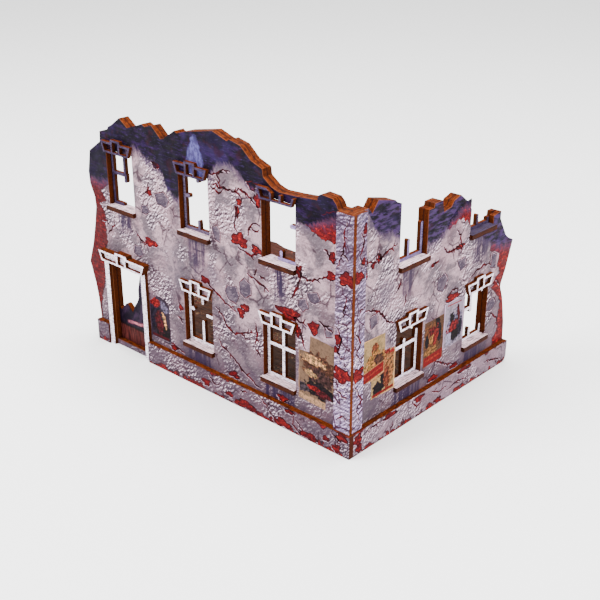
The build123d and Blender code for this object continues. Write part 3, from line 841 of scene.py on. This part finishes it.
SLABS = {
    "front": [
        [(-69, 66), (-65.5, 69.5), (-61, 67.5), (-61, 61.5), (-65, 59), (-68.5, 61)],
        [(-77.5, 62), (-71, 63.5), (-69, 59), (-71.5, 54), (-76.5, 55), (-79, 59)],
        [(-86.5, 90), (-83, 91.5), (-81, 88.5), (-81, 83), (-85, 84)],
        [(-128, 97), (-121, 99.5), (-117, 96), (-119.5, 91.5), (-126, 92)],
        [(-147, 65), (-141.5, 65.5), (-139.5, 61.5), (-143.5, 58.5), (-148, 60.5)],
        [(-139.5, 88.5), (-134.5, 89.5), (-132.5, 86), (-136, 84), (-139, 84.5)],
        [(-25.5, 74), (-19.5, 75.5), (-17.5, 72), (-21, 69.5), (-24.5, 70.5)],
        [(-31, 69), (-26, 70.5), (-24.5, 66), (-28, 63.5), (-31, 65.5)],
        [(-15.5, 61), (-10, 61.5), (-10, 56.5), (-14, 55.5)],
    ],
    "side": [
        [(64.5, 67.5), (70, 69), (73, 65), (69, 59), (64, 62)],
        [(80, 72), (87, 72.5), (88.5, 67.5), (83, 66)],
        [(12.5, 65), (18, 65.5), (19, 60.5), (14, 58.5)],
        [(109.5, 39.5), (116.5, 41), (119.5, 36.5), (115.5, 34), (110.5, 34.5)],
        [(112, 67.5), (116.5, 65), (116, 57.5), (111, 59)],
    ],
}
PILASTER_CRACKS = {
    "front": [
        [(-1.5, 113), (-3, 106.5), (-3.5, 98.5), (-5.5, 95), (-7, 92)], [(-3.5, 98.5), (-0.5, 96)],
        [(-1, 79), (-2.5, 73), (-3, 69)], [(-6.5, 33), (-2.5, 30.5), (0, 30.5)],
        [(-5.5, 17), (-2.5, 20.5), (0, 19.5)],
        [(-7, 64), (-5, 61.5), (-3.5, 57.5), (-6, 52.5), (-3.5, 48.5)],
    ],
    "side": [
        [(6.3, 73.5), (4, 72.5), (3, 70)], [(0.5, 63), (4.5, 56.5), (2, 53), (5, 46.5)],
        [(1, 36.5), (4.5, 30), (6.3, 27), (3, 24), (5, 17)],
        [(3, 108), (5, 103), (2.5, 98), (4, 93)],
    ],
}
PLINTH_CRACKS = {
    "front": [
        [(-67, 9.5), (-62.5, 10)], [(-54.5, 11), (-48, 8), (-47, 11.6)], [(-48, 7), (-44, 3)],
        [(-31, 9.5), (-32, 4.5), (-27, 1)], [(-30, 7.5), (-25.5, 4), (-27, 0.5)],
        [(-33.5, 11.6), (-30, 10)], [(-8, 10.5), (-3.5, 8), (-4, 3.5)],
        [(-90, 10), (-86, 6), (-82, 7.5)],
    ],
    "side": [
        [(29.5, 6.5), (27.5, 1)], [(10.5, 8.5), (13.5, 10.5), (19.5, 10)],
        [(60, 9), (66, 6.5), (73, 7)], [(73.5, 4.5), (82, 6), (93, 5)],
        [(107.5, 7.5), (116, 5.5), (124.5, 3)], [(44, 10.5), (48, 6), (52, 7.5)],
    ],
}
PATCHES = {
    "front": [
        ((-132.5, 96.5), (2.1, 1.3)), ((-133.5, 69.5), (4.8, 2.1)), ((-126, 112), (2.5, 1.4)),
        ((-67.5, 106.5), (1.7, 1.5)), ((-69, 101.5), (1.4, 2.6)), ((-68, 88), (5.2, 3.4)),
        ((-57, 85.5), (3.1, 2.1)), ((-55.5, 110), (2, 3.2)), ((-59, 116), (2.8, 2)),
        ((-11, 94.5), (1.9, 2.5)), ((-11.5, 85.5), (2.6, 2.2)), ((-30.5, 82.5), (1.8, 2.8)),
        ((-93, 60.5), (3.1, 1.8)), ((-65, 54), (2.9, 1.9)), ((-68, 50.5), (2.4, 2.5)),
        ((-37, 60), (6.2, 3)), ((-31, 53), (1.8, 3.1)), ((-21.5, 57.5), (3, 3.4)),
        ((-74, 14.5), (3.5, 1.7)), ((-41, 14), (3.1, 1.6)), ((-112.5, 39.5), (1.4, 1.7)),
        ((-119.5, 14), (2.8, 1.3)),
    ],
    "side": [
        ((81.5, 79), (3.5, 1.2)), ((78, 53.5), (5.6, 1.9)), ((9, 92), (1, 2.6)), ((14, 89.5), (1.3, 1.4)),
        ((18, 91.5), (0.9, 2)), ((59.5, 76), (1.4, 0.9)), ((9.2, 86), (1.1, 2.3)),
        ((64.5, 13.8), (4.2, 1.3)), ((83, 13.8), (3.4, 1.2)),
    ],
}
PILASTER_PATCHES = {
    "front": [
        ((-1.2, 87.5), (4.2, 3.4)), ((-2.6, 41.2), (5.6, 3.6)), ((-5.4, 58), (2, 2.4)),
        ((-6.5, 52.5), (1.6, 1.6)),
    ],
    "side": [
        ((2.2, 88), (3.4, 2.8)), ((2.8, 41.0), (4.4, 3.4)), ((4.9, 94.5), (1.2, 1.6)),
        ((5.6, 109), (1.0, 2.4)),
    ],
}
PLINTH_PATCHES = {
    "front": [
        ((-63.5, 2.6), (8, 2.2)), ((-75, 4.5), (2.5, 1.2)), ((-38.5, 2.4), (6.2, 2)),
        ((-21.5, 2.2), (6, 1.8)), ((-11, 5.5), (2.2, 1.2)), ((-1.6, 9.6), (3.2, 2)),
        ((-4.5, 2.8), (2.2, 2.2)), ((-34, 10.6), (2.8, 1.1)), ((-92, 5), (3, 2)),
    ],
    "side": [
        ((3.2, 8), (2.8, 3)), ((4, 2.8), (2.2, 2.2)), ((27, 10.4), (5.5, 1.2)),
        ((50, 9.8), (4, 1.6)), ((88.5, 10.8), (6, 1)), ((66, 2.2), (3, 1.4)),
    ],
}

# The two large scorched areas: seed, step, wander, where the dark edge starts, outline.
SCORCHED = {
    "front": (5, 1.2, 0.5, 10, [
        (-27.5, 106.5), (-24, 110), (-18.5, 112), (-12, 114.5), (-8.2, 115), (-8.2, 102),
        (-10, 100.5), (-12.5, 101.8), (-15, 100.6), (-19.5, 102), (-23.5, 103.8), (-25, 105.2),
    ]),
    "side": (6, 1.4, 0.35, None, [
        (69, 91), (71, 94), (75, 98), (81, 101), (88.8, 101.5), (89, 95), (88.6, 88), (86.5, 91.5),
        (84.5, 90.5), (83, 93.5), (80.5, 92.6), (78.5, 94), (76.5, 91.5), (74, 92), (71.5, 90.4),
    ]),
}
# Layer: how far out its sheet is, crack width, cracks, bare patches.
LAYERS = {
    "wall": (0.0, 1.2, CRACKS, PATCHES),
    "pilaster": (OVERLAY, 0.95, PILASTER_CRACKS, PILASTER_PATCHES),
    "plinth": (PLINTH, 0.95, PLINTH_CRACKS, PLINTH_PATCHES),
}


def scorched_area(wall, brick_film, dark_film):
    seed, step, wander, start, points = SCORCHED[wall]
    outline = jagged(random.Random(seed), wall, 0.0, points + points[:1], step, wander)[:-1]
    brick_film.shape(outline)
    if start is not None:
        dark_film.ribbon(outline[start:], [0.3] * len(outline[start:]))


def grey_slabs(rng, wall, axis, slot, dark_film, pale_film):
    grey = slab_material(wall + "_slab_print", axis)
    film = Film(wall, wall + "_wall_grey_slabs", 0.0, 0.012, slot, grey)
    rims = []
    for points in SLABS[wall]:
        rim = jagged(rng, wall, 0.0, points + points[:1], 1.8, 0.3)[:-1]
        film.shape(rim)
        pale_film.ribbon([(u - 0.3, v - 0.35) for u, v in rim], [0.28] * len(rim), closed=True)
        rims.append(rim)
    film.done()
    for rim in rims:
        dark_film.ribbon(rim, [rng.uniform(0.2, 0.5) for _ in rim], closed=True)


rng = random.Random(20)
for wall, axis, smoke in (("front", "y", FRONT_SMOKE), ("side", "x", SIDE_SMOKE)):
    red = brick_material(wall + "_bare_brick", axis, smoke)
    maroon = brick_material(wall + "_foot_brick", axis, None, 1.15)
    line = crack_material(wall + "_crack_print", axis)
    lip = lip_material(wall + "_lip_print", axis)
    for layer, (depth, width, cracks, patches) in LAYERS.items():
        slot = "plaster_print_" + wall if layer == "wall" else layer + "_print"
        stem = wall + "_" + layer
        brick = maroon if layer == "plinth" else red
        brick_film = Film(wall, stem + "_brick_patches", depth, 0.03, slot, brick)
        dark_film = Film(wall, stem + "_cracks", depth, 0.045, slot, line)
        pale_film = Film(wall, stem + "_plaster_lips", depth, 0.02, slot, lip)
        for spot, half in patches[wall]:
            bare_patch(rng, brick_film, dark_film, pale_film, spot, half)
        if layer == "wall":
            scorched_area(wall, brick_film, dark_film)
            grey_slabs(rng, wall, axis, slot, dark_film, pale_film)
        for points in cracks[wall]:
            crack(rng, dark_film, pale_film, points, width)
        for film in (brick_film, dark_film, pale_film):
            film.done()


# ---------------------------------------------------------------- pasted sheets, generic designs
def poster_material(name, axis, box, paper, layers, bands):
    """A faded sheet: paper grain, painted masses of colour, plain bands and a pale rim."""
    left, foot, width, height = box
    faded = dim(paper, 0.9)
    p = Print(name, axis)
    s = (p.u - left) / width
    t = (p.v - foot) / height
    fibre = p.noise(0.8, detail=4.0, rough=0.65)
    colour = p.mix(faded, dim(faded, 0.74), fibre.step(0.46, 0.64) * 0.7)
    colour = p.mottle(colour, dim(paper, 0.68), 0.12, 0.48, 0.62, 0.6, shift=500.0)
    wander = (p.noise(0.42, p.at(shift=70.0), detail=4.0, rough=0.65) - 0.5) * 2.2
    paint = p.emboss(0.6, 3.0, 0.65, lean=0.4, gap=0.6)
    for tone, middle, size, lean in layers:
        tone = dim(tone, 0.86)
        across = (s - middle[0] + (t - middle[1]) * lean) / size[0]
        along = (t - middle[1]) / size[1]
        reach = radius(across, along) + wander
        shade = p.mix(tone, [min(255, c * 1.15 + 14) for c in tone], paint.step(0.03, 0.13))
        shade = p.mix(shade, dim(tone, 0.55), paint.step(-0.03, -0.12))
        colour = p.mix(colour, shade, reach.step(1.1, 0.92))
    for tone, start, slope, half, near, far in bands:
        sweep = (t - start - s * slope + wander * 0.008).abs()
        inside = s.step(near, near + 0.03) * s.step(far + 0.03, far)
        worn = p.mix(dim(tone, 0.92), dim(tone, 0.7), fibre.step(0.46, 0.6))
        colour = p.mix(colour, worn, sweep.step(half + 0.012, half - 0.012) * inside)
    rim = (s.min(1.0 - s) * width).min(t.min(1.0 - t) * height)
    colour = p.mix([min(255, c * 0.96 + 12) for c in paper], colour, rim.step(0.25, 0.6))
    return p.finish(colour, fibre, 0.00005, 0.7)


def torn(rng, corners, step=2.2, depth=0.35):
    """A sheet outline with small tears along every edge."""
    outline = []
    for (u0, v0), (u1, v1) in zip(corners, corners[1:] + corners[:1]):
        pieces = max(1, round(math.hypot(u1 - u0, v1 - v0) / step))
        for index in range(pieces):
            part = index / pieces
            nip = depth if index and rng.random() < 0.35 else 0.08
            u = u0 + (u1 - u0) * part + rng.uniform(-nip, nip)
            outline.append((u, v0 + (v1 - v0) * part + rng.uniform(-nip, nip)))
    return outline


NAVY, INK, WINE, RED = (52, 44, 62), (40, 26, 34), (104, 36, 46), (158, 46, 48)
UMBER, OCHRE, CREAM = (112, 76, 60), (184, 150, 96), (212, 186, 148)


def paste(name, wall, corners, *design):
    """Corners, paper colour, painted layers (tone, middle, half size, lean), then bands
    (tone, start, slope, half width, near, far); all but the corners as shares of the sheet."""
    us, vs = [c[0] for c in corners], [c[1] for c in corners]
    box = (min(us), min(vs), max(us) - min(us), max(vs) - min(vs))
    material = poster_material(name + "_print", "y" if wall == "front" else "x", box, *design)
    sheet = Film(wall, name, 0.0, 0.09, "plaster_print_" + wall, material)
    sheet.shape(torn(rng, corners))
    sheet.done()


paste(
    "front_poster_by_door", "front",
    [(-137.5, 16), (-122, 14.5), (-121.8, 36), (-124.5, 39.5), (-131, 40.5), (-137.5, 36)],
    (84, 66, 84),
    (
        ((150, 140, 162), (0.72, 0.8), (0.2, 0.12), 0.6), (NAVY, (0.3, 0.5), (0.34, 0.34), 0.0),
        (RED, (0.25, 0.84), (0.3, 0.1), 0.4), (INK, (0.6, 0.24), (0.42, 0.2), 0.0),
        (WINE, (0.45, 0.42), (0.2, 0.24), 0.2), (CREAM, (0.72, 0.5), (0.08, 0.17), 0.45),
    ),
    ((WINE, 0.1, 0.0, 0.028, 0.05, 0.9), ((172, 156, 168), 0.045, 0.0, 0.012, 0.05, 0.95)),
)
paste(
    "front_poster_large", "front",
    [(-30.5, 19), (-14, 18), (-13.8, 24), (-9, 23.5), (-8.6, 52), (-23.5, 53), (-24, 44.5), (-30.5, 44)],
    (170, 144, 124),
    (
        (UMBER, (0.62, 0.55), (0.5, 0.22), 0.5), ((206, 182, 148), (0.42, 0.66), (0.3, 0.07), 1.0),
        ((92, 64, 62), (0.6, 0.42), (0.34, 0.14), 0.4),
        ((200, 176, 140), (0.34, 0.46), (0.16, 0.05), 0.8),
        (INK, (0.6, 0.24), (0.46, 0.12), 0.7), (RED, (0.4, 0.25), (0.22, 0.035), 0.4),
        ((98, 84, 92), (0.12, 0.22), (0.16, 0.08), 0.0), (WINE, (0.72, 0.2), (0.2, 0.05), 0.5),
    ),
    (((208, 186, 160), 0.06, -0.02, 0.055, 0.0, 0.8),),
)
paste(
    "side_poster_left", "side",
    [(8, 33), (15.5, 32), (15.5, 22.3), (32.7, 22), (32.7, 43.5), (25, 44.5), (24.6, 53.5), (8.4, 54)],
    (206, 188, 150),
    (
        (RED, (0.6, 0.62), (0.4, 0.1), -0.4), ((150, 90, 62), (0.38, 0.78), (0.11, 0.13), 0.0),
        (OCHRE, (0.42, 0.55), (0.3, 0.22), 0.0), (UMBER, (0.52, 0.6), (0.14, 0.12), 0.4),
        ((176, 136, 96), (0.8, 0.36), (0.2, 0.26), 0.0), (INK, (0.64, 0.3), (0.07, 0.24), 0.1),
        (INK, (0.5, 0.13), (0.16, 0.12), 0.0), ((148, 84, 60), (0.76, 0.24), (0.09, 0.2), 0.1),
    ),
    (
        (CREAM, 0.39, 0.1, 0.1, 0.0, 0.66), (RED, 0.4, 0.1, 0.082, 0.0, 0.64),
        ((186, 92, 74), 0.4, 0.1, 0.008, 0.03, 0.62), (RED, 0.035, 0.02, 0.022, 0.32, 0.97),
    ),
)
paste(
    "side_poster_brown", "side",
    [(55.6, 22.5), (71.8, 23), (71.5, 47), (64, 46.6), (55.8, 46.8)],
    (128, 98, 78),
    (
        ((140, 96, 64), (0.4, 0.6), (0.5, 0.34), 0.0), (INK, (0.72, 0.72), (0.14, 0.3), 0.2),
        ((122, 44, 44), (0.46, 0.68), (0.2, 0.16), 0.3), (INK, (0.16, 0.55), (0.1, 0.14), 0.0),
        (OCHRE, (0.42, 0.56), (0.13, 0.11), 0.0), ((150, 58, 52), (0.6, 0.6), (0.12, 0.2), -0.3),
        ((168, 130, 84), (0.36, 0.32), (0.36, 0.08), -0.3),
    ),
    ((RED, 0.1, 0.04, 0.115, 0.0, 1.0), ((184, 84, 66), 0.12, 0.04, 0.02, 0.12, 0.8)),
)
paste(
    "side_poster_pale", "side",
    [(72.2, 26.5), (88.4, 27.2), (88.6, 51), (80, 51.6), (72, 51.2)],
    (204, 194, 204),
    (
        ((148, 140, 160), (0.6, 0.4), (0.42, 0.34), 0.0), (NAVY, (0.68, 0.34), (0.34, 0.22), 0.0),
        (INK, (0.42, 0.62), (0.11, 0.12), 0.0), ((146, 48, 52), (0.45, 0.42), (0.26, 0.12), -0.5),
        (WINE, (0.74, 0.66), (0.07, 0.2), 0.3), (INK, (0.56, 0.22), (0.24, 0.1), 0.0),
    ),
    (((206, 200, 212), 0.19, 0.0, 0.12, 0.14, 0.38), ((176, 60, 66), 0.93, -0.03, 0.012, 0.12, 0.86)),
)

# ---------------------------------------------------------------- table
studio_paper = bpy.data.materials.new("studio_paper")
studio_paper.use_nodes = True
paper_shader = studio_paper.node_tree.nodes["Principled BSDF"]
paper_shader.inputs["Base Color"].default_value = (0.93, 0.93, 0.93, 1)
paper_shader.inputs["Roughness"].default_value = 0.9
table_mesh = bpy.data.meshes.new("table_top")
grid = bmesh.new()
bmesh.ops.create_grid(grid, x_segments=24, y_segments=24, size=3.0)
grid.to_mesh(table_mesh)
grid.free()
table_mesh.materials.append(studio_paper)
table_top = bpy.data.objects.new("table_top", table_mesh)
bpy.context.scene.collection.objects.link(table_top)

# ---------------------------------------------------------------- camera and light
CAMERA_PLACE = (0.33552, -0.36155, 0.25106)
CAMERA_TILT, CAMERA_TURN = 65.727, 42.471
camera_data = bpy.data.cameras.new("photo_camera")
camera_data.lens = 59.318
camera_data.sensor_width = 36.0
camera_data.clip_start = 0.01
camera = bpy.data.objects.new("photo_camera", camera_data)
camera.location = CAMERA_PLACE
camera.rotation_euler = (math.radians(CAMERA_TILT), 0.0, math.radians(CAMERA_TURN))
bpy.context.scene.collection.objects.link(camera)
bpy.context.scene.camera = camera

world = bpy.data.worlds.new("studio")
world.use_nodes = True
backdrop = world.node_tree.nodes["Background"]
backdrop.inputs["Color"].default_value = (1.0, 1.0, 1.0, 1)
backdrop.inputs["Strength"].default_value = 1.75
bpy.context.scene.world = world


def soft_box(name, place, aim, width, power):
    lamp = bpy.data.lights.new(name, "AREA")
    lamp.shape = "SQUARE"
    lamp.size = width
    lamp.energy = power
    thing = bpy.data.objects.new(name, lamp)
    thing.location = place
    thing.rotation_euler = (Vector(aim) - Vector(place)).to_track_quat("-Z", "Y").to_euler()
    bpy.context.scene.collection.objects.link(thing)


soft_box("key_light", (-0.35, -0.75, 0.75), (0, -0.03, 0.05), 0.5, 19.0)
soft_box("fill_light", (0.9, 0.0, 0.5), (0, 0, 0.06), 0.6, 11.0)
soft_box("top_light", (0.0, 0.1, 1.1), (0, 0, 0.06), 0.6, 19.0)
